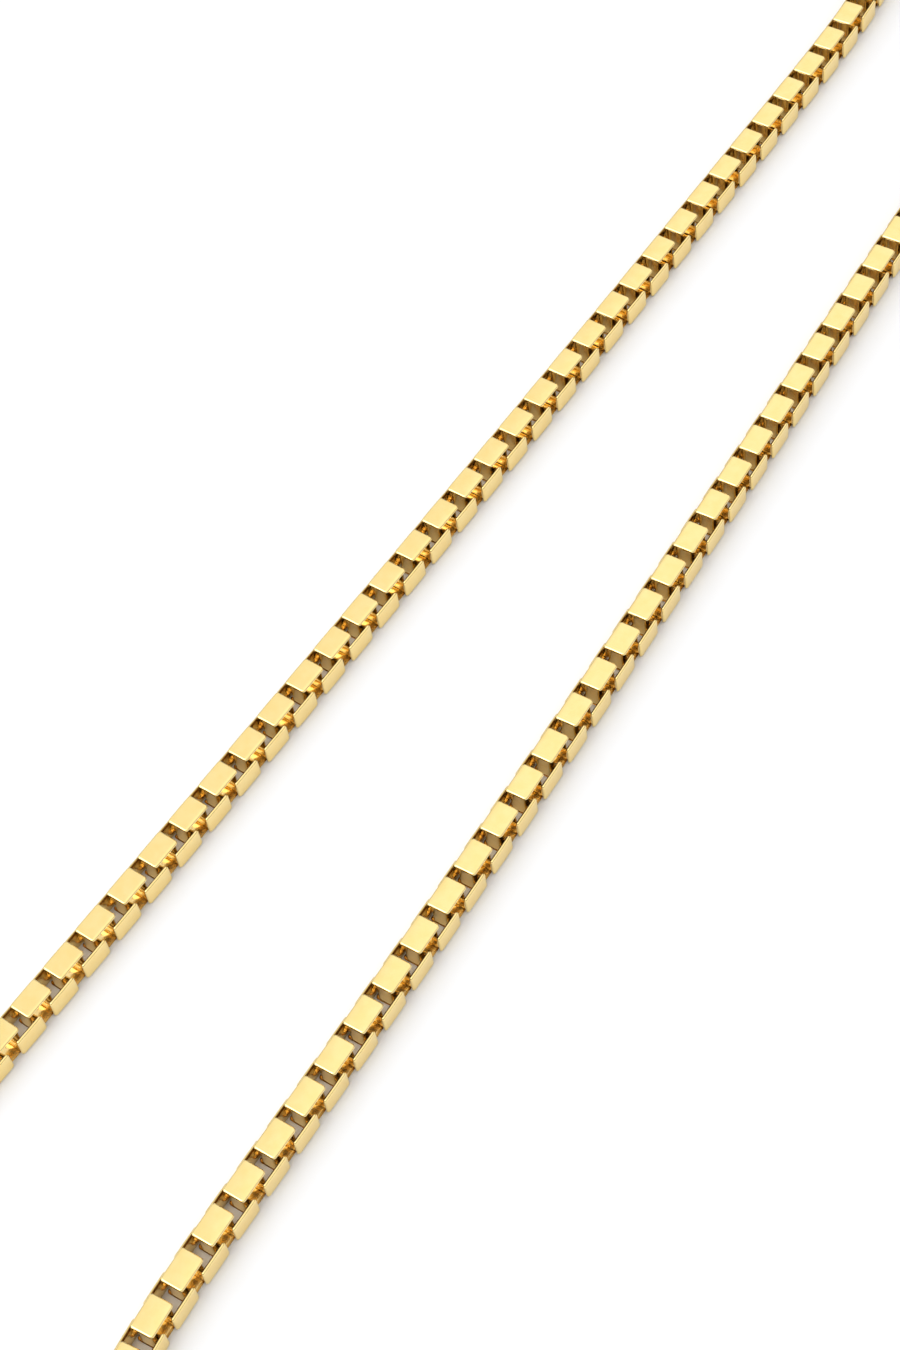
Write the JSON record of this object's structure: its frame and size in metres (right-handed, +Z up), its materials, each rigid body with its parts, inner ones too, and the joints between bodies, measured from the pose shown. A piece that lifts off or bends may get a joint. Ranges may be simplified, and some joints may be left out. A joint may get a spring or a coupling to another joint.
{
  "type": "box chain necklace",
  "caption": "Necklace of square box links bent from flat strip, laid out as one closed loop with a plain barrel clasp.",
  "frame": {"origin": "centre of the loop's bounding box, on the surface that the chain lies on", "axes": "+X along the loop towards the end that the clasp is near, +Y across it towards the strand without the clasp, +Z up from the surface"},
  "size_m": [0.2513, 0.0393, 0.0032],
  "materials": {
    "chain_gold": "polished yellow gold plating on flat strip links",
    "clasp_gold": "polished yellow gold plating on a turned barrel"
  },
  "bodies": {
    "root": {"chain": "chain_gold", "clasp": "clasp_gold"}
  },
  "joints": []
}
